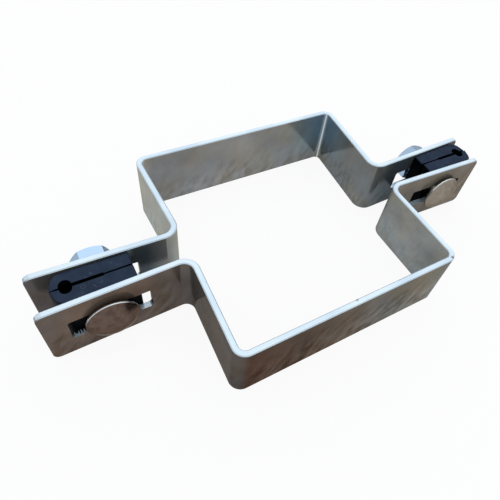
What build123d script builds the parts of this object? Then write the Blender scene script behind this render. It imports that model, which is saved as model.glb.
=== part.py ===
from build123d import *
from math import cos, radians, sin, sqrt, tan
import os

os.makedirs("parts", exist_ok=True)

# Driving dimensions of the two bent straps, in millimetres and degrees
strip_width = 25.0
strip_thickness = 2.0
post_opening_width = 80.6
post_opening_depth = 81.4
side_lean = 1.95
ear_lean = 1.8
ear_length = 47.0
ear_gap = 8.74
post_bend_radius = 2.2
ear_bend_radius = 3.2
ear_corner_radius = 2.2
edge_break = 0.3

# Driving dimensions of the adjusting slots
slot_length = 25.0
slot_clearance = 1.0
slot_end_margin = 7.0
slot_corner_radius = 0.8

# Driving dimensions of the moulded wire holder, two halves in each ear
wire_groove_diameter = 3.6
lip_length = 2.6
window_wall = 2.2
heel_wall = 3.4
window_play = 4.0
window_clearance = 1.2
window_corner_radius = 0.8
nose_slope = 1.3
nose_radius = 3.6
lip_gap = 0.2
parting_gap = 0.6
relief_depth = 0.3
relief_length = 10.8
insert_inset = 1.0
insert_clearance = 0.1
moulded_chamfer = 0.3

# Driving dimensions of the fasteners
bolt_diameter = 8.0
bolt_length = 25.0
bolt_end_chamfer = 0.8
head_diameter = 16.3
head_height = 3.9
head_rim = 0.6
head_rim_break = 0.2
head_stand_off = 0.95
neck_depth = 4.0
neck_chamfer = 0.5
nut_across_flats = 13.0
nut_height = 6.8
nut_bevel_angle = 30.0
nut_bore_clearance = 0.05
nut_bore_chamfer = 0.3

# Where the loose pieces stand: bolts outwards from the slot's middle, holders from their bolt
left_bolt_slide = 0.2
right_bolt_slide = 2.9
left_insert_slide = -0.65
right_insert_slide = 1.15
right_halves_stagger = 0.5
left_nut_seat_gap = 0.8
right_nut_seat_gap = 0.25
left_nut_turn = -4.5
right_nut_turn = 38.4

# Places worked out from the driving dimensions
mid_height = strip_width / 2
ear_face_y = ear_gap / 2
back_face_y = post_opening_depth / 2
post_half_width = post_opening_width / 2
mouth_half_width = post_half_width - tan(radians(side_lean)) * (back_face_y - ear_face_y)
ear_end_x = mouth_half_width + ear_length * cos(radians(ear_lean))
ear_end_y = ear_face_y + ear_length * sin(radians(ear_lean))
slot_along_ear = ear_length - slot_end_margin - slot_length / 2
slot_x = mouth_half_width + slot_along_ear * cos(radians(ear_lean))
left_bolt_x = -(slot_x + left_bolt_slide)
right_bolt_x = slot_x + right_bolt_slide
neck_width = bolt_diameter
slot_width = neck_width + slot_clearance


def ear_face_at(x):
    """Distance of an ear's inner face from the middle plane, at a distance x from the centre."""
    return ear_face_y + tan(radians(ear_lean)) * (abs(x) - mouth_half_width)


# Rear strap, one strip bent to a hat profile around the post
rear_ear_face = Plane(
    origin=(mouth_half_width, ear_face_y, mid_height),
    x_dir=(cos(radians(ear_lean)), sin(radians(ear_lean)), 0),
    z_dir=(-sin(radians(ear_lean)), cos(radians(ear_lean)), 0),
)
with BuildPart() as rear_strap:
    with BuildSketch():
        with BuildLine():
            FilletPolyline(
                (0, back_face_y),
                (post_half_width, back_face_y),
                (mouth_half_width, ear_face_y),
                (ear_end_x, ear_end_y),
                radius=(post_bend_radius, ear_bend_radius + strip_thickness),
            )
            offset(amount=strip_thickness, side=Side.LEFT)
        make_face()
    extrude(amount=strip_width)

    # Rounded corners at the ear's end
    ear_end = rear_strap.faces().sort_by(Axis.X)[-1]
    corner_edges = ear_end.edges().filter_by(lambda edge: edge.length < 2 * strip_thickness)
    fillet(corner_edges, radius=ear_corner_radius)

    # Edges broken all along the sheared strip, ends included
    rims = rear_strap.edges().group_by(Axis.Z)[0] + rear_strap.edges().group_by(Axis.Z)[-1]
    outer_rims = rims.filter_by(lambda edge: edge.center().X > strip_thickness)
    chamfer(outer_rims, length=edge_break)

    # Adjusting slot, punched square to the ear
    with BuildSketch(rear_ear_face):
        with Locations((slot_along_ear, 0)):
            RectangleRounded(slot_length, slot_width, slot_corner_radius)
    extrude(amount=strip_thickness, mode=Mode.SUBTRACT)

    mirror(about=Plane.YZ)
rear_strap.part.label = "rear_strap"
export_step(rear_strap.part, "parts/rear_strap.step")

# Front strap, the same strip turned to face the rear one
with BuildPart() as front_strap:
    add(rear_strap.part.mirror(Plane.XZ))
front_strap.part.label = "front_strap"
export_step(front_strap.part, "parts/front_strap.step")

# Moulded wire holder: two halves a side, clamped between the ears
window_length = neck_width + window_play
window_height = neck_width + window_clearance
wire_inset = lip_length + wire_groove_diameter / 2
window_inset = lip_length + wire_groove_diameter + window_wall + window_length / 2
insert_length = window_inset + window_length / 2 + heel_wall
insert_height = strip_width - 2 * insert_inset
left_window_x = abs(left_bolt_x) + left_insert_slide
right_window_x = abs(right_bolt_x) + right_insert_slide
# name: side of the post, side of the middle plane, distance of the bolt window from the centre
insert_halves = {
    "insert_left_rear": (-1, 1, left_window_x),
    "insert_left_front": (-1, -1, left_window_x),
    "insert_right_rear": (1, 1, right_window_x),
    "insert_right_front": (1, -1, right_window_x + right_halves_stagger),
}
for name, (side, face, window_x) in insert_halves.items():
    tip_x = window_x + window_inset
    slope_x = tip_x - nose_slope
    heel_x = tip_x - insert_length
    wire_x = tip_x - wire_inset
    relief_x = wire_x - relief_length
    relief_y = parting_gap / 2 + relief_depth
    outline = [
        (tip_x, lip_gap / 2),
        (slope_x, ear_face_at(slope_x) - insert_clearance),
        (heel_x, ear_face_at(heel_x) - insert_clearance),
        (heel_x, parting_gap / 2),
        (relief_x, parting_gap / 2),
        (relief_x, relief_y),
        (wire_x, relief_y),
    ]
    with BuildPart() as insert_half:
        with BuildSketch(Plane.XY.offset(insert_inset)):
            with BuildLine():
                Polyline([(side * x, face * y) for x, y in outline], close=True)
            make_face()
            with Locations((side * wire_x, face * relief_y)):
                Circle(wire_groove_diameter / 2, mode=Mode.SUBTRACT)
        extrude(amount=insert_height)

        # Rounded nose, at the upright edge furthest from the middle plane
        upright_edges = insert_half.edges().filter_by(Axis.Z)
        fillet(upright_edges.sort_by(lambda edge: abs(edge.center().Y))[-1], radius=nose_radius)

        # Moulded edges broken on the side that lies in the ear
        rims = insert_half.faces().filter_by(Axis.Z).edges()
        outer_rims = rims.filter_by(
            lambda edge: abs(edge.bounding_box().center().Y) > wire_groove_diameter / 2
        )
        chamfer(outer_rims, length=moulded_chamfer)

        # Window that the bolt passes through
        with BuildSketch(Plane.XZ):
            with Locations((side * window_x, mid_height)):
                RectangleRounded(window_length, window_height, window_corner_radius)
        extrude(amount=ear_end_y, both=True, mode=Mode.SUBTRACT)
    insert_half.part.label = name
    export_step(insert_half.part, f"parts/{name}.step")

# Hexagon nuts behind the rear ears, bevelled on both faces
corner_radius = nut_across_flats / sqrt(3)
bevel_height = (corner_radius - nut_across_flats / 2) * tan(radians(nut_bevel_angle))
bore_radius = bolt_diameter / 2 + nut_bore_clearance
bore_mouth_radius = bore_radius + nut_bore_chamfer
# name: place along the ear, gap between the nut and the splayed ear, turn about the bolt
nut_places = {
    "hex_nut_left": (left_bolt_x, left_nut_seat_gap, left_nut_turn),
    "hex_nut_right": (right_bolt_x, right_nut_seat_gap, right_nut_turn),
}
for name, (nut_x, seat_gap, nut_turn) in nut_places.items():
    nut_seat_y = ear_face_at(abs(nut_x) + corner_radius) + strip_thickness + seat_gap
    with BuildPart() as hex_nut:
        with BuildSketch(Plane.XZ.offset(-nut_seat_y)):
            with Locations(Location((nut_x, mid_height), nut_turn)):
                RegularPolygon(nut_across_flats / 2, side_count=6, major_radius=False)
        extrude(amount=-nut_height)

        # Turned blank that bevels the corners and opens the bore
        with BuildSketch(Plane(origin=(nut_x, nut_seat_y, mid_height))):
            with BuildLine():
                Polyline(
                    (bore_mouth_radius, 0),
                    (nut_across_flats / 2, 0),
                    (corner_radius, bevel_height),
                    (corner_radius, nut_height - bevel_height),
                    (nut_across_flats / 2, nut_height),
                    (bore_mouth_radius, nut_height),
                    (bore_radius, nut_height - nut_bore_chamfer),
                    (bore_radius, nut_bore_chamfer),
                    close=True,
                )
            make_face()
        revolve(axis=Axis((nut_x, 0, mid_height), (0, 1, 0)), mode=Mode.INTERSECT)
    hex_nut.part.label = name
    export_step(hex_nut.part, f"parts/{name}.step")

# Carriage bolts, heads in front, standing a little off the ears
head_radius = head_diameter / 2
dome_height = head_height - head_rim
dome_radius = (head_radius**2 + dome_height**2) / (2 * dome_height)
bolt_places = {
    "carriage_bolt_left": left_bolt_x,
    "carriage_bolt_right": right_bolt_x,
}
for name, bolt_x in bolt_places.items():
    head_seat_y = -(ear_face_at(abs(bolt_x) + head_radius) + strip_thickness + head_stand_off)
    head_seat = Plane.XZ.offset(-head_seat_y)
    with BuildPart() as carriage_bolt:
        # Domed head, turned about the bolt's axis
        with BuildSketch(Plane(origin=(bolt_x, head_seat_y, mid_height))):
            with BuildLine():
                crown = (0, -head_height)
                brim = (head_radius, -head_rim)
                RadiusArc(crown, brim, -dome_radius)
                Polyline(brim, (head_radius, 0), (0, 0), crown)
            make_face()
        revolve(axis=Axis((bolt_x, 0, mid_height), (0, 1, 0)))
        round_edges = carriage_bolt.edges().filter_by(GeomType.CIRCLE)
        brim_edges = round_edges.filter_by(lambda edge: edge.center().Y < head_seat_y - head_rim / 2)
        chamfer(brim_edges, length=head_rim_break)

        # Square neck under the head
        with BuildSketch(head_seat):
            with Locations((bolt_x, mid_height)):
                Rectangle(neck_width, neck_width)
        extrude(amount=-neck_depth)
        chamfer(carriage_bolt.edges().filter_by(Axis.Y), length=neck_chamfer)

        # Shank, left plain where the fine thread would be
        with BuildSketch(head_seat):
            with Locations((bolt_x, mid_height)):
                Circle(bolt_diameter / 2)
        extrude(amount=-bolt_length)
        chamfer(carriage_bolt.edges().sort_by(Axis.Y)[-1], length=bolt_end_chamfer)
    carriage_bolt.part.label = name
    export_step(carriage_bolt.part, f"parts/{name}.step")
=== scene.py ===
from math import pi, radians

import bpy
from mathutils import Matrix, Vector


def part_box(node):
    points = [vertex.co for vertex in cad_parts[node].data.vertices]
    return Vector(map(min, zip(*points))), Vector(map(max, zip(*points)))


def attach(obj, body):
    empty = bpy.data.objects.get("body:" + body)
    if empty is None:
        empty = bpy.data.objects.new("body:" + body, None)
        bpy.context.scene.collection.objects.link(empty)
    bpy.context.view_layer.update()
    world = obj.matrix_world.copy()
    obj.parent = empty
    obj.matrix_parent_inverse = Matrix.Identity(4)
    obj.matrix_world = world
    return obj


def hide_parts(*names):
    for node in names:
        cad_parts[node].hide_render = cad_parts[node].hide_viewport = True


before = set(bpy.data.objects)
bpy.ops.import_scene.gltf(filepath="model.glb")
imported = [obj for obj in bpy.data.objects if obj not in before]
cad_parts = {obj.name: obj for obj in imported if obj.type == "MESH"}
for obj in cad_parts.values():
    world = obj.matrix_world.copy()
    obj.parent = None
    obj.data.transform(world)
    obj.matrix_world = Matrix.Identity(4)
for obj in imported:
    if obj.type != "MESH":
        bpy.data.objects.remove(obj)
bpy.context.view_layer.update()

# Straps. Two like strips of galvanised steel, 25 by 2 mm, bent to a hat profile around
# the post. The flat faces keep the glossy zinc coat, with faint slanting streaks. The
# sheared edges, the ears' ends and the punched slots are brighter and a little torn; their
# bright bluish tone is partly a painted reflection of the sky, and the slots' torn ribs
# and end walls are painted near black, partly as painted shade.
strap_end_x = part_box("rear_strap")[1].x

# Scales of the coat's noises, from its slow ripple to its fine specks
ripple_scale = 38.0
tarnish_scale = 60.0
cloud_scale = 75.0
streak_scale = 330.0
speck_scale = 1300.0
tear_scale = 2600.0

# Run of the streaks: their slant, and where along X and up Z they show
streak_slant = 0.42
streak_stretch = 0.50
side_share = 2.0
rise_raggedness = 0.020
rise_fade = 0.010
strength_above_rise = 0.15
plate_end = (0.036, 0.040)
ear_start = (0.044, 0.050)
strength_on_ears = 0.7

# Places on an ear, which splays outwards from the post opening's mouth
mouth_half_width = 0.039
ear_splay = 0.0314
ear_outer_face = 0.0064
ear_inner_face = 0.0044
ear_corner_room = 0.004
slot_foot, slot_top = 0.004, 0.012
slot_end_room = 0.0065
torn_room = 0.0125

# Colours that both straps share, all linear
# The sheared tones are partly the bare metal's own colour and partly a painted reflection of
# the sky, bright and bluish.
sheared_tones_and_sky_reflection = ((0.575, 0.695, 0.805), (0.680, 0.800, 0.875))
# The next tone is a painted highlight for the bends.
bend_highlight_tone = (0.70, 0.74, 0.76)
speck_tone = (0.030, 0.028, 0.030)
# Near black for the torn slot walls: partly torn metal, partly painted shade deep in the
# slots.
torn_and_shaded_tone = (0.02, 0.03, 0.04)
# The corner tint is a painted bluish reflection of the sky.
sky_reflection_tint = (0.97, 1.30, 1.58)

# Single marks: a bluish corner and a bright line in each bend, a painted reflection and
# painted highlights, then nicks in the edge and pits in a side
sky_reflection_corner = (0.0403, 0.0407, 0.0)
bend_highlight_line = (0.03966, 0.04006, 0.0)
nicks = ((-0.0008, -0.0408, 0.0249), (0.0398, -0.0416, 0.0249))
pits = (
    (0.0397, 0.0161, 0.0142), (0.0397, 0.0156, 0.0134),
    (0.0397, 0.0146, 0.0144), (0.0397, 0.0168, 0.0106),
)
mark_core = 0.0002
# marks, how far each reaches, and its colour
dark_marks = ((nicks, 0.0008, (0.16, 0.14, 0.15)), (pits, 0.0005, (0.07, 0.07, 0.08)))

# Broad tones of each strap along X, from left to right, chosen against the photograph
# These tones are partly the zinc's random tone and partly painted light: the pale band at the
# rear left bend is a painted highlight, and the dark bluish tones on the rear strap's ears are
# painted shade between the ears.
rear_tones_and_painted_light = (
    (-0.082, (0.135, 0.118, 0.114)), (-0.056, (0.100, 0.125, 0.142)),
    (-0.051, (0.098, 0.128, 0.152)), (-0.0465, (0.270, 0.280, 0.270)),
    (-0.0415, (0.420, 0.430, 0.385)), (-0.036, (0.275, 0.275, 0.265)),
    (0.000, (0.305, 0.305, 0.292)), (0.020, (0.264, 0.270, 0.262)),
    (0.036, (0.225, 0.240, 0.240)), (0.0415, (0.210, 0.222, 0.222)),
    (0.0465, (0.140, 0.168, 0.185)), (0.051, (0.098, 0.128, 0.152)),
    (0.056, (0.100, 0.125, 0.142)), (0.082, (0.135, 0.118, 0.114)),
)
# The front strap's dark left bend and lighter right side are painted reflections, not colours
# of the zinc.
front_tones_and_painted_light = (
    (-0.060, (0.158, 0.125, 0.106)), (-0.0445, (0.165, 0.138, 0.124)),
    (-0.0425, (0.142, 0.130, 0.120)), (-0.0405, (0.120, 0.108, 0.099)),
    (-0.038, (0.104, 0.068, 0.056)), (0.000, (0.188, 0.161, 0.136)),
    (0.018, (0.257, 0.249, 0.223)), (0.034, (0.310, 0.295, 0.250)),
    (0.0405, (0.315, 0.340, 0.340)), (0.046, (0.245, 0.230, 0.205)),
)


def feed(tree, socket, value):
    """Gives an input its value: a link from another socket, or a plain number or colour."""
    if isinstance(value, bpy.types.NodeSocket):
        tree.links.new(value, socket)
    elif socket.type == "RGBA":
        socket.default_value = (*value, 1.0)
    else:
        socket.default_value = value


def maths(tree, operation, first, second=0.0):
    """A Math node: first and second are sockets or plain numbers."""
    node = tree.nodes.new("ShaderNodeMath")
    node.operation = operation
    feed(tree, node.inputs[0], first)
    feed(tree, node.inputs[1], second)
    return node.outputs[0]


def product(tree, *factors):
    """The product of several masks or numbers."""
    result, *others = factors
    for factor in others:
        result = maths(tree, "MULTIPLY", result, factor)
    return result


def spread(tree, value, start, end, low=0.0, high=1.0):
    """A Map Range node that carries value from start..end to low..high."""
    node = tree.nodes.new("ShaderNodeMapRange")
    limits = {"From Min": start, "From Max": end, "To Min": low, "To Max": high}
    for name, number in {"Value": value, **limits}.items():
        feed(tree, node.inputs[name], number)
    return node.outputs["Result"]


def blend(tree, factor, first, second):
    """A colour Mix node: first and second are sockets or linear colours."""
    node = tree.nodes.new("ShaderNodeMix")
    node.data_type = "RGBA"
    for name, value in (("Factor", factor), ("A", first), ("B", second)):
        feed(tree, node.inputs[name], value)
    return node.outputs["Result"]


def noise(tree, vector, scale, detail=3.0):
    """A Noise Texture node read at vector."""
    node = tree.nodes.new("ShaderNodeTexNoise")
    for name, value in (("Vector", vector), ("Scale", scale), ("Detail", detail)):
        feed(tree, node.inputs[name], value)
    return node.outputs["Fac"]


def scaled(tree, colour, factor):
    """A colour times a number, or times another colour."""
    node = tree.nodes.new("ShaderNodeVectorMath")
    by_number = isinstance(factor, bpy.types.NodeSocket) and factor.type == "VALUE"
    node.operation = "SCALE" if by_number else "MULTIPLY"
    feed(tree, node.inputs[0], colour)
    feed(tree, node.inputs["Scale" if by_number else 1], factor)
    return node.outputs[0]


def near(tree, place, centre, inner, outer):
    """A mask that is 1 within inner of a place on the object and 0 beyond outer."""
    node = tree.nodes.new("ShaderNodeVectorMath")
    node.operation = "DISTANCE"
    feed(tree, node.inputs[0], place)
    feed(tree, node.inputs[1], centre)
    return spread(tree, node.outputs["Value"], inner, outer, 1.0, 0.0)


def axes(tree, vector):
    """A vector's three parts, by the names X, Y and Z."""
    node = tree.nodes.new("ShaderNodeSeparateXYZ")
    tree.links.new(vector, node.inputs[0])
    return node.outputs


def object_place(tree):
    """The place on the object that is being coloured."""
    return tree.nodes.new("ShaderNodeTexCoord").outputs["Object"]


def facing_way(tree):
    """The three parts of the surface's normal."""
    return axes(tree, tree.nodes.new("ShaderNodeNewGeometry").outputs["Normal"])


def roughen(tree, shader, height, strength, distance):
    """Fine relief in a finish, from a height mask."""
    bump = tree.nodes.new("ShaderNodeBump")
    bump.inputs["Strength"].default_value = strength
    bump.inputs["Distance"].default_value = distance
    tree.links.new(height, bump.inputs["Height"])
    tree.links.new(bump.outputs[0], shader.inputs["Normal"])


def effect_group(name, inputs, outputs):
    """An empty shader node group with named number inputs and outputs."""
    group = bpy.data.node_groups.new(name, "ShaderNodeTree")
    for label in inputs:
        group.interface.new_socket(label, in_out="INPUT", socket_type="NodeSocketFloat")
    for label in outputs:
        group.interface.new_socket(label, in_out="OUTPUT", socket_type="NodeSocketFloat")
    given = group.nodes.new("NodeGroupInput").outputs
    results = group.nodes.new("NodeGroupOutput").inputs
    return group, given, results


def place_group(tree, group, **values):
    """A group put into a material with its own input values."""
    node = tree.nodes.new("ShaderNodeGroup")
    node.node_tree = group
    for label, value in values.items():
        node.inputs[label].default_value = value
    return node.outputs


def new_finish(name):
    """A new material, its node tree and its Principled shader."""
    finish = bpy.data.materials.new(name)
    finish.use_nodes = True
    return finish, finish.node_tree, finish.node_tree.nodes["Principled BSDF"]


def dress(node_names, finish):
    """Gives each named CAD node one finish in place of its plain one."""
    for node_name in node_names:
        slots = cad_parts[node_name].data.materials
        slots.clear()
        slots.append(finish)


def zinc_streaks():
    """Masks of the coat's pattern: clouds, streaks, tarnish, specks and a slow ripple."""
    tree, given, results = effect_group(
        "zinc_streaks", ("Slant", "Scale", "Rise", "Sides"),
        ("Clouds", "Streaks", "Tarnish", "Specks", "Height"),
    )
    place = object_place(tree)
    along = axes(tree, place)
    clouds = noise(tree, place, cloud_scale, 5.0)

    # Streaks run up the strip at a slant. Y moves them too, for the straps' sides
    slanted = tree.nodes.new("ShaderNodeCombineXYZ")
    run = maths(tree, "SUBTRACT", along["X"], product(tree, along["Y"], side_share))
    run = maths(tree, "SUBTRACT", run, product(tree, along["Z"], given["Slant"]))
    feed(tree, slanted.inputs["X"], run)
    feed(tree, slanted.inputs["Y"], product(tree, along["Z"], streak_stretch))
    streaks = noise(tree, slanted.outputs[0], given["Scale"])

    # They are strong below a ragged line, on the plate and on the ears
    ragged = product(tree, maths(tree, "SUBTRACT", clouds, 0.5), rise_raggedness)
    above_rise = maths(tree, "ADD", along["Z"], ragged)
    above_rise = maths(tree, "SUBTRACT", above_rise, given["Rise"])
    lower_half = spread(tree, above_rise, -rise_fade, 0.0, 1.0, strength_above_rise)
    from_middle = maths(tree, "ABSOLUTE", along["X"])
    on_plate = spread(tree, from_middle, *plate_end, 1.0, 0.0)
    on_ears = spread(tree, from_middle, *ear_start, 0.0, strength_on_ears)
    strength = maths(tree, "MAXIMUM", on_plate, on_ears)
    strength = maths(tree, "MAXIMUM", strength, given["Sides"])
    uneven = product(tree, maths(tree, "SUBTRACT", streaks, 0.5), lower_half, strength)

    tarnish = maths(tree, "ADD", noise(tree, place, tarnish_scale), uneven)
    specks = spread(tree, noise(tree, place, speck_scale, 2.0), 0.69, 0.74)
    feed(tree, results["Clouds"], clouds)
    feed(tree, results["Streaks"], uneven)
    feed(tree, results["Tarnish"], tarnish)
    feed(tree, results["Specks"], specks)
    feed(tree, results["Height"], noise(tree, place, ripple_scale, 1.0))
    return tree


streak_group = zinc_streaks()


def sheared_metal():
    """Masks of bare and torn metal, and of painted shade in the slots: the sheared edges, the
    ears' ends and the slots' walls.
    """
    tree, given, results = effect_group("sheared_metal", ("End",), ("Sheared", "Slot", "TornAndShaded"))
    along = axes(tree, object_place(tree))
    facing = facing_way(tree)
    upward = spread(tree, maths(tree, "ABSOLUTE", facing["Z"]), 0.45, 0.75)
    outward = spread(tree, maths(tree, "ABSOLUTE", facing["X"]), 0.75, 0.95)
    from_middle = maths(tree, "ABSOLUTE", along["X"])

    def beyond(room):
        """A mask of what lies nearer than room to the ears' ends."""
        limit = maths(tree, "SUBTRACT", given["End"], room)
        return maths(tree, "GREATER_THAN", from_middle, limit)

    ends = product(tree, outward, beyond(ear_corner_room))
    feed(tree, results["Sheared"], maths(tree, "MAXIMUM", upward, ends))

    # The slots' lower and upper walls face up or down at mid height
    below_top = maths(tree, "LESS_THAN", along["Z"], slot_top)
    above_foot = maths(tree, "GREATER_THAN", along["Z"], slot_foot)
    in_slot = maths(tree, "SUBTRACT", 1.0, beyond(slot_end_room))
    slot_wall = product(tree, upward, below_top, above_foot, in_slot)
    feed(tree, results["Slot"], slot_wall)

    # The punch tore the wall in ribs that reach out from the ear's inner face
    splay = product(tree, maths(tree, "SUBTRACT", from_middle, mouth_half_width), ear_splay)
    from_seam = maths(tree, "SUBTRACT", maths(tree, "ABSOLUTE", along["Y"]), splay)
    across = spread(tree, from_seam, ear_outer_face, ear_inner_face)
    ribs = tree.nodes.new("ShaderNodeCombineXYZ")
    feed(tree, ribs.inputs["X"], along["X"])
    ragged = noise(tree, ribs.outputs[0], tear_scale, 1.0)
    torn = maths(tree, "GREATER_THAN", across, spread(tree, ragged, 0.35, 0.62, 0.15, 0.95))
    torn = product(tree, torn, slot_wall, beyond(torn_room))
    # The slots' end walls inside the ears join this mask, so they are painted near black:
    # painted shade in the slots.
    in_ear = maths(tree, "GREATER_THAN", from_middle, ear_start[1])
    end_wall = product(tree, outward, in_slot, in_ear)
    feed(tree, results["TornAndShaded"], maths(tree, "MAXIMUM", torn, end_wall))
    return tree


sheared_group = sheared_metal()


def galvanised(name, tones, warm, cool, contrast, rise, sides, edge_tint):
    """Zinc coat on a strap, part bare, part dull patina. The tones are its colours along X,
    partly painted light and shade.
    """
    finish, tree, shader = new_finish(name)
    shader.inputs["Specular IOR Level"].default_value = 0.0
    shader.inputs["Specular Tint"].default_value = (*edge_tint, 1.0)
    coat = place_group(
        tree, streak_group, Slant=streak_slant, Scale=streak_scale, Rise=rise, Sides=sides
    )
    cut = place_group(tree, sheared_group, End=strap_end_x)
    place = object_place(tree)
    along = axes(tree, place)

    (start, colour), *rest = tones
    for end, tone in rest:
        colour = blend(tree, spread(tree, along["X"], start, end), colour, tone)
        start = end
    dark, bright = 1.0 - contrast, 1.0 + contrast / 2
    streaky = spread(tree, coat["Streaks"], -0.15, 0.12, dark, bright)
    cloudy = spread(tree, coat["Clouds"], 0.3, 0.7, 1.0 - contrast / 2, bright)
    colour = scaled(tree, colour, product(tree, streaky, cloudy))
    tarnished = spread(tree, coat["Tarnish"], 0.38, 0.62)
    colour = scaled(tree, colour, blend(tree, tarnished, warm, cool))

    # Bluish rear right corner, as the photograph shows it, a painted reflection of the sky,
    # and a bright line in each bend, a painted highlight
    plan = scaled(tree, place, (1.0, 1.0, 0.0))
    upper = spread(tree, along["Z"], 0.003, 0.013)
    painted_sky_reflection = product(tree, near(tree, plan, sky_reflection_corner, 0.007, 0.019), upper)
    colour = blend(tree, painted_sky_reflection, colour, scaled(tree, colour, sky_reflection_tint))
    folded = tree.nodes.new("ShaderNodeVectorMath")
    folded.operation = "ABSOLUTE"
    feed(tree, folded.inputs[0], plan)
    painted_bend_highlight = near(tree, folded.outputs[0], bend_highlight_line, 0.00022, 0.00042)
    colour = blend(tree, painted_bend_highlight, colour, bend_highlight_tone)

    # Specks, sheared edges and torn slots lie over the coat, and single marks over all. The
    # edges' bright bluish tone is partly a painted reflection, and the slots' near black is
    # partly painted shade.
    colour = blend(tree, product(tree, coat["Specks"], 0.45), colour, speck_tone)
    edge_tone_and_reflection = blend(tree, spread(tree, coat["Clouds"], 0.38, 0.62), *sheared_tones_and_sky_reflection)
    colour = blend(tree, cut["Sheared"], colour, edge_tone_and_reflection)
    colour = blend(tree, cut["TornAndShaded"], colour, torn_and_shaded_tone)
    for marks, reach, tone in dark_marks:
        for mark in marks:
            colour = blend(tree, near(tree, place, mark, mark_core, reach), colour, tone)
    feed(tree, shader.inputs["Base Color"], colour)
    feed(tree, shader.inputs["Metallic"], spread(tree, cut["Slot"], 0.0, 1.0, 0.40, 0.55))

    gloss = spread(tree, coat["Clouds"], 0.3, 0.7, 0.10, 0.19)
    gloss = maths(tree, "ADD", gloss, product(tree, cut["Sheared"], 0.12))
    feed(tree, shader.inputs["Roughness"], gloss)
    roughen(tree, shader, coat["Height"], 0.5, 0.0006)
    return finish


dress(["rear_strap"], galvanised(
    "zinc_coat_rear", rear_tones_and_painted_light, warm=(1.06, 1.0, 0.91), cool=(0.97, 1.0, 1.05),
    contrast=0.28, rise=0.013, sides=0.9, edge_tint=(0.80, 0.80, 0.77),
))
dress(["front_strap"], galvanised(
    "zinc_coat_front", front_tones_and_painted_light, warm=(1.08, 0.99, 0.90), cool=(0.97, 1.0, 1.03),
    contrast=0.42, rise=0.019, sides=0.20, edge_tint=(0.42, 0.39, 0.37),
))

# Wire holders. Four moulded halves of black plastic, two in each pair of ears, with
# a half-round groove for the panel's end wire. They are held only by the ears.
holder_names = (
    "insert_left_rear", "insert_left_front", "insert_right_rear", "insert_right_front",
)
# Tops are painted lighter and bluish and sides near black: painted light from the sky above,
# with a random mottle in each.
painted_shaded_side_tones = ((0.001, 0.002, 0.003), (0.004, 0.005, 0.007))
painted_lit_top_tones = ((0.024, 0.036, 0.062), (0.034, 0.051, 0.085))
scuff_tone = (0.062, 0.078, 0.104)
ejector_mark = (-0.0716, -0.0019, 0.0240)
ejector_strength = 0.6

holder_finish, tree, shader = new_finish("black_plastic")
shader.inputs["Specular IOR Level"].default_value = 0.01
place = object_place(tree)
dust = spread(tree, noise(tree, place, 240.0, 5.0), 0.45, 0.75)
scuffs = spread(tree, noise(tree, place, 900.0, 2.0), 0.66, 0.74)
within_ring = near(tree, place, ejector_mark, 0.00070, 0.00085)
inside_ring = near(tree, place, ejector_mark, 0.00045, 0.00060)
ring = maths(tree, "SUBTRACT", within_ring, inside_ring)
scuffs = maths(tree, "MAXIMUM", scuffs, product(tree, ring, ejector_strength))
# Painted light: faces turned up take the lit tones, the others the shaded ones.
sky_lit_top = spread(tree, facing_way(tree)["Z"], 0.3, 0.9)
sides = blend(tree, dust, *painted_shaded_side_tones)
tops = blend(tree, scuffs, blend(tree, dust, *painted_lit_top_tones), scuff_tone)
feed(tree, shader.inputs["Base Color"], blend(tree, sky_lit_top, sides, tops))
feed(tree, shader.inputs["Roughness"], spread(tree, dust, 0.0, 1.0, 0.40, 0.56))
roughen(tree, shader, noise(tree, place, 2200.0), 0.35, 0.00006)
dress(holder_names, holder_finish)

# Carriage bolts. Zinc-plated M8 by 25 mm bolts with a low domed head and a square neck,
# one through each pair of ears. The head is forged, the thread is rolled.
bolt_radius = 0.004
bolt_length = 0.025
head_radius = 0.00815
head_height = 0.0039
head_rim = 0.0006
head_rounding = 0.00018
neck_depth = 0.004
neck_rounding = 0.00045
neck_overlap = 0.0003
shank_overlap = 0.0005
thread_pitch = 0.00125
thread_root = 0.0033
end_chamfer = 0.0008
head_steps = 96
thread_steps = 48
spare_turns = 3
same_place = 1e-6
smooth_below = radians(32)
# A painted highlight for the upper side of the bolt heads' rims.
rim_highlight_tone = (0.72, 0.77, 0.80)


def zinc_plated(name, dark, light, rim, roughness, contrast):
    """Bright zinc plating with a soft mottle, a few darker spots, and the rim's upper side
    painted bright, a painted highlight.
    """
    finish, tree, shader = new_finish(name)
    shader.inputs["Metallic"].default_value = 1.0
    shader.inputs["Specular Tint"].default_value = (0.50, 0.47, 0.44, 1.0)
    place = object_place(tree)
    mottle = noise(tree, place, 560.0, 5.0)
    spots = spread(tree, noise(tree, place, 700.0, 1.0), 0.70, 0.76, 0.0, contrast)
    colour = blend(tree, spread(tree, mottle, 0.30, 0.70), dark, light)
    colour = blend(tree, spots, colour, tuple(0.5 * part for part in dark))
    # Faces turned up and sideways take the rim colour: a painted highlight.
    facing = facing_way(tree)
    sideways = spread(tree, maths(tree, "ABSOLUTE", facing["Y"]), 0.45, 0.68, 1.0, 0.0)
    painted_top_highlight = product(tree, sideways, spread(tree, facing["Z"], 0.1, 0.55))
    feed(tree, shader.inputs["Base Color"], blend(tree, painted_top_highlight, colour, rim))
    gloss = spread(tree, mottle, 0.3, 0.7, roughness - 0.06, roughness + 0.08)
    feed(tree, shader.inputs["Roughness"], gloss)
    roughen(tree, shader, noise(tree, place, 900.0), 0.6 * contrast, 0.0001)
    return finish


def clear_selection():
    """Nothing selected, so that an operator acts only on what is chosen next."""
    bpy.ops.object.select_all(action="DESELECT")


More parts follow.
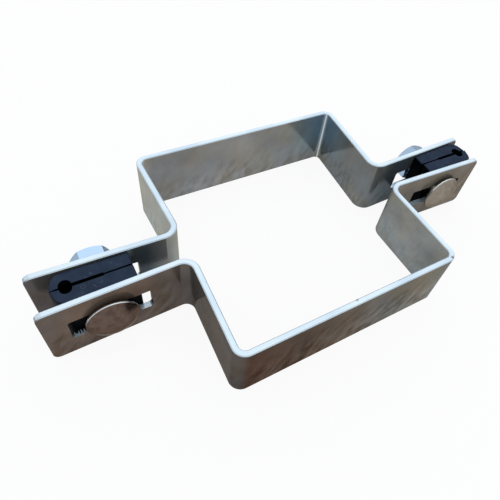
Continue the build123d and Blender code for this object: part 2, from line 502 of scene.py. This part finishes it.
def choose_edges(rule):
    """Selects the edges whose two ends pass rule, in the mesh being edited."""
    bpy.ops.mesh.select_mode(type="EDGE")
    bpy.ops.mesh.select_all(action="DESELECT")
    bpy.ops.object.mode_set(mode="OBJECT")
    mesh = bpy.context.object.data
    for edge in mesh.edges:
        edge.select = all(rule(mesh.vertices[corner].co) for corner in edge.vertices)
    bpy.ops.object.mode_set(mode="EDIT")


def domed_head():
    """Forged head: the cap of a sphere, cut off at the rim, drawn down and closed."""
    dome = head_height - head_rim
    dome_radius = (head_radius**2 + dome**2) / (2 * dome)
    clear_selection()
    bpy.ops.mesh.primitive_uv_sphere_add(
        segments=head_steps, ring_count=head_steps, radius=dome_radius,
        location=(0.0, 0.0, head_height - dome_radius),
    )
    head = bpy.context.object
    bpy.ops.object.transform_apply(location=True, rotation=False, scale=False)
    bpy.ops.object.mode_set(mode="EDIT")
    bpy.ops.mesh.select_all(action="SELECT")
    bpy.ops.mesh.bisect(
        plane_co=(0.0, 0.0, head_rim), plane_no=(0.0, 0.0, 1.0), clear_inner=True
    )
    choose_edges(lambda corner: corner.z < head_rim + same_place)
    bpy.ops.mesh.extrude_region_move(TRANSFORM_OT_translate={"value": (0.0, 0.0, -head_rim)})
    bpy.ops.mesh.edge_face_add()
    choose_edges(lambda corner: abs(corner.z - head_rim) < same_place or corner.z < same_place)
    bpy.ops.mesh.bevel(offset=head_rounding, segments=3, profile=0.5, affect="EDGES")
    bpy.ops.object.mode_set(mode="OBJECT")
    return head


def square_neck():
    """Square neck with broken corners, which keeps the bolt from turning in its slot."""
    clear_selection()
    bpy.ops.mesh.primitive_cube_add(
        size=1.0, location=(0.0, 0.0, (neck_overlap - neck_depth) / 2),
        scale=(2 * bolt_radius, 2 * bolt_radius, neck_depth + neck_overlap),
    )
    neck = bpy.context.object
    bpy.ops.object.transform_apply(location=True, rotation=False, scale=True)
    bpy.ops.object.mode_set(mode="EDIT")
    bpy.ops.mesh.select_mode(type="EDGE")
    bpy.ops.mesh.select_all(action="SELECT")
    bpy.ops.mesh.bevel(offset=neck_rounding, segments=3, profile=0.5, affect="EDGES")
    bpy.ops.object.mode_set(mode="OBJECT")
    return neck


def rolled_thread():
    """Threaded shank: one tooth's outline, screwed up the bolt, cut flat at both ends."""
    clear_selection()
    bpy.ops.mesh.primitive_plane_add(size=0.0002, location=(0.0, 0.0, 0.0))
    shank = bpy.context.object
    bpy.ops.object.mode_set(mode="EDIT")
    bpy.ops.mesh.select_all(action="SELECT")
    bpy.ops.mesh.merge(type="CENTER")
    bpy.ops.transform.translate(value=(thread_root, 0.0, -bolt_length - thread_pitch))

    # Root, flank, crest and flank: how far each goes out, and its share of the pitch
    tooth = bolt_radius - thread_root
    for reach, share in ((0.0, 0.2), (tooth, 0.34), (0.0, 0.12), (-tooth, 0.34)):
        bpy.ops.mesh.extrude_region_move(
            TRANSFORM_OT_translate={"value": (reach, 0.0, share * thread_pitch)}
        )
    bpy.ops.object.mode_set(mode="OBJECT")
    screw = shank.modifiers.new("thread", "SCREW")
    screw.axis = "Z"
    screw.steps = thread_steps
    screw.render_steps = thread_steps
    screw.iterations = round((bolt_length - neck_depth) / thread_pitch) + spare_turns
    screw.screw_offset = thread_pitch
    screw.use_merge_vertices = True
    screw.merge_threshold = same_place
    bpy.ops.object.modifier_apply(modifier=screw.name)
    bpy.ops.object.mode_set(mode="EDIT")
    bpy.ops.mesh.select_all(action="SELECT")
    bpy.ops.mesh.remove_doubles(threshold=same_place)
    for height, normal in ((-bolt_length, 1.0), (shank_overlap - neck_depth, -1.0)):
        bpy.ops.mesh.select_all(action="SELECT")
        bpy.ops.mesh.bisect(
            plane_co=(0.0, 0.0, height), plane_no=(0.0, 0.0, normal), clear_inner=True,
            use_fill=True,
        )
    bpy.ops.object.mode_set(mode="OBJECT")

    # Chamfer at the free end, where the thread starts
    for corner in shank.data.vertices:
        room = bolt_radius - max(0.0, end_chamfer - (corner.co.z + bolt_length))
        reach = (corner.co.x**2 + corner.co.y**2) ** 0.5
        if reach > room:
            corner.co.x *= room / reach
            corner.co.y *= room / reach
    bpy.ops.object.mode_set(mode="EDIT")
    bpy.ops.mesh.select_all(action="SELECT")
    bpy.ops.mesh.normals_make_consistent(inside=False)
    bpy.ops.object.mode_set(mode="OBJECT")
    return shank


# The two bolts are the same zinc: the left one's tones are painted shade and the right one's
# painted light.
bolt_finishes = {
    "carriage_bolt_left": zinc_plated(
        "zinc_plating_shaded_left", (0.083, 0.055, 0.045), (0.144, 0.103, 0.085), rim_highlight_tone,
        roughness=0.30, contrast=0.35,
    ),
    "carriage_bolt_right": zinc_plated(
        "zinc_plating_lit_right", (0.214, 0.182, 0.150), (0.292, 0.252, 0.213), rim_highlight_tone,
        roughness=0.30, contrast=0.6,
    ),
}
pieces = [domed_head(), square_neck(), rolled_thread()]
clear_selection()
for piece in pieces:
    piece.select_set(True)
bpy.context.view_layer.objects.active = pieces[0]
bpy.ops.object.join()
pattern_bolt = bpy.context.object
pattern_bolt.data.materials.clear()
bpy.ops.object.shade_smooth_by_angle(angle=smooth_below)
for bolt_name, bolt_finish in bolt_finishes.items():
    low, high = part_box(bolt_name)
    clear_selection()
    bolt = pattern_bolt.copy()
    bolt.data = pattern_bolt.data.copy()
    bolt.name = bolt_name.replace("carriage_bolt", "threaded_bolt")
    bpy.context.scene.collection.objects.link(bolt)
    bolt.select_set(True)
    bpy.context.view_layer.objects.active = bolt
    bolt.rotation_euler = (pi / 2, 0.0, 0.0)
    bolt.location = ((low.x + high.x) / 2, low.y + head_height, (low.z + high.z) / 2)
    bpy.ops.object.transform_apply(location=True, rotation=True, scale=False)
    bolt.data.materials.append(bolt_finish)
    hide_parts(bolt_name)
    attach(bolt, "root")
bpy.data.objects.remove(pattern_bolt)

# Hexagon nuts. Zinc-plated M8 nuts of steel, bevelled on both faces and screwed on the
# bolts behind the rear ears. Their plating is brighter and bluer than the bolts', partly a
# painted reflection of the sky.
dress(["hex_nut_left", "hex_nut_right"], zinc_plated(
    "zinc_plating_nuts", (0.345, 0.480, 0.645), (0.376, 0.512, 0.680), (0.360, 0.496, 0.662),
    roughness=0.20, contrast=0.06,
))

# Studio. A plain pale floor that the clamp stands on, one large soft lamp behind and above,
# and a sky that lights it most from overhead. Floor and sky look white to the camera and in
# the metal's reflections, and the floor keeps the clamp's shadow.
white = (1.0, 1.0, 1.0, 1.0)
floor_size = 6.0
floor_tone = (0.9, 0.9, 0.9, 1.0)
floor_roughness = 0.9
floor_whiteness = 0.92
sky_tone = (0.93, 0.965, 1.0, 1.0)
sky_low, sky_high = 0.38, 0.95
sky_high_from = 0.85
lamp_place = Vector((0.60, 0.72, 1.05))
lamp_size = 1.8
lamp_power = 5.6
lamp_tone = (0.96, 0.985, 1.0)


def seen(tree):
    """A mask of the rays that look at the studio: straight on, mirrored or through glass."""
    rays = tree.nodes.new("ShaderNodeLightPath").outputs
    direct = maths(tree, "MAXIMUM", rays["Is Camera Ray"], rays["Is Glossy Ray"])
    return maths(tree, "MAXIMUM", direct, rays["Is Transmission Ray"])


def shown_as(tree, mask, lit, shown, output):
    """Joins what the light meets with what is seen where mask is 1."""
    mixed = tree.nodes.new("ShaderNodeMixShader")
    for socket, value in zip(mixed.inputs, (mask, lit.outputs[0], shown.outputs[0])):
        tree.links.new(value, socket)
    tree.links.new(mixed.outputs[0], tree.nodes[output].inputs["Surface"])


clear_selection()
bpy.ops.mesh.primitive_plane_add(size=floor_size, location=(0.0, 0.0, 0.0))
floor = bpy.context.object
floor.name = "studio_floor"
floor_finish, tree, shader = new_finish("pale_floor")
shader.inputs["Base Color"].default_value = floor_tone
shader.inputs["Roughness"].default_value = floor_roughness
glow = tree.nodes.new("ShaderNodeEmission")
glow.inputs["Color"].default_value = white
mask = product(tree, seen(tree), floor_whiteness)
shown_as(tree, mask, shader, glow, "Material Output")
floor.data.materials.append(floor_finish)

world = bpy.data.worlds.new("studio")
bpy.context.scene.world = world
world.use_nodes = True
tree = world.node_tree
sky = tree.nodes["Background"]
sky.inputs["Color"].default_value = sky_tone
upwards = axes(tree, tree.nodes.new("ShaderNodeTexCoord").outputs["Generated"])["Z"]
strength = spread(tree, upwards, 0.0, sky_high_from, sky_low, sky_high)
feed(tree, sky.inputs["Strength"], strength)
backdrop = tree.nodes.new("ShaderNodeBackground")
backdrop.inputs["Color"].default_value = white
shown_as(tree, seen(tree), sky, backdrop, "World Output")

lamp = bpy.data.lights.new("sky_panel", "AREA")
lamp.size = lamp_size
lamp.energy = lamp_power
lamp.color = lamp_tone
sky_panel = bpy.data.objects.new("sky_panel", lamp)
sky_panel.location = lamp_place
sky_panel.rotation_euler = (-lamp_place).to_track_quat("-Z", "Y").to_euler()
bpy.context.scene.collection.objects.link(sky_panel)

# Camera. It looks down on the clamp from the front left, as the photograph does. Its
# place, turn and lens were solved from the straps' straight edges.
lens = bpy.data.cameras.new("camera")
lens.lens = 34.317
lens.sensor_width = 36.0
lens.shift_x, lens.shift_y = -0.1004, -0.0328
lens.clip_start = 0.01
camera = bpy.data.objects.new("camera", lens)
camera.location = (-0.07110, -0.08738, 0.14894)
camera.rotation_euler = [radians(angle) for angle in (38.468, -8.792, -30.512)]
bpy.context.scene.collection.objects.link(camera)
bpy.context.scene.camera = camera
bpy.context.scene.view_settings.view_transform = "Standard"
